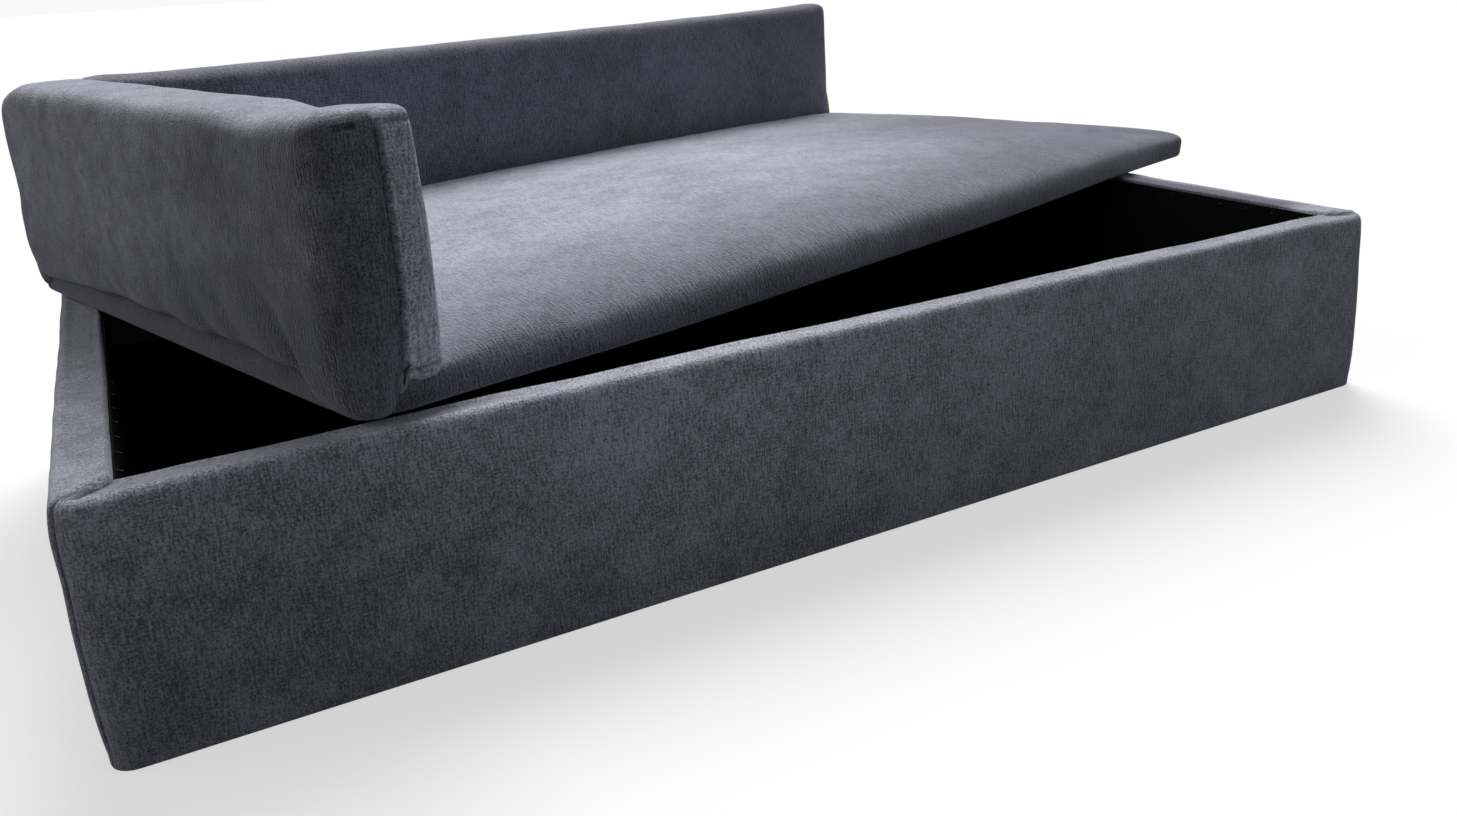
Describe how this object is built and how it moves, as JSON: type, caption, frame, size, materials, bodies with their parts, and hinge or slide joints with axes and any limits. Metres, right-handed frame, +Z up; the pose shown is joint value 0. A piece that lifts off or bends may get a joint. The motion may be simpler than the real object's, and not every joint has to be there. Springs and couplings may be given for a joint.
{
  "type": "dog sofa bed",
  "caption": "Upholstered dog sofa bed: a padded seat lid with an arm and a backrest lies on a storage box and swivels open on a corner pin.",
  "frame": {"origin": "centre of the box's underside, on the floor", "axes": "+X along the box's length to its right end, +Y to its back, +Z up; the lid stands turned 17.5 degrees anticlockwise from above, as pictured"},
  "size_m": [0.8937, 0.6725, 0.2663],
  "materials": {
    "chenille": "charcoal grey short-pile chenille with a fine upright slub",
    "lining": "black spun-bonded nonwoven cloth",
    "wadding": "white polyester upholstery wadding",
    "foam": "cream flexible polyurethane foam",
    "timber": "raw plywood and hardwood",
    "zinc_screw": "zinc plated",
    "steel": "turned mild steel",
    "nylon": "natural moulded nylon"
  },
  "bodies": {
    "box": {"front_board": "timber", "front_wadding": "wadding", "front_cover": "chenille", "front_lining": "lining", "back_board": "timber", "back_wadding": "wadding", "back_cover": "chenille", "back_lining": "lining", "left_board": "timber", "left_wadding": "wadding", "left_cover": "chenille", "left_lining": "lining", "right_board": "timber", "right_wadding": "wadding", "right_cover": "chenille", "right_lining": "lining", "floor_board": "timber", "floor_lining": "lining", "dust_cover": "lining", "wall_screws": "zinc_screw", "floor_screws": "zinc_screw", "block_screws": "zinc_screw", "pivot_block": "timber", "pivot_bush": "nylon"},
    "swivel": {"pivot_pin": "steel"},
    "lid": {"seat_board": "timber", "seat_foam": "foam", "seat_cover": "chenille", "lid_lining": "lining", "socket_plate": "steel", "socket_screws": "zinc_screw", "arm_board": "timber", "arm_foam": "foam", "arm_cover": "chenille", "backrest_board": "timber", "backrest_foam": "foam", "backrest_cover": "chenille", "bolster_screws": "zinc_screw"}
  },
  "joints": [
    {"name": "lid_swivel", "type": "hinge", "parent": "box", "child": "swivel", "pos_m": [-0.348, 0.173, 0.127], "axis": [0, 0, 1], "range_deg": [-17.5, 72.5]},
    {"name": "lid_lift", "type": "slide", "parent": "swivel", "child": "lid", "axis": [0, 0, 1], "range_m": [0, 0.15]}
  ]
}
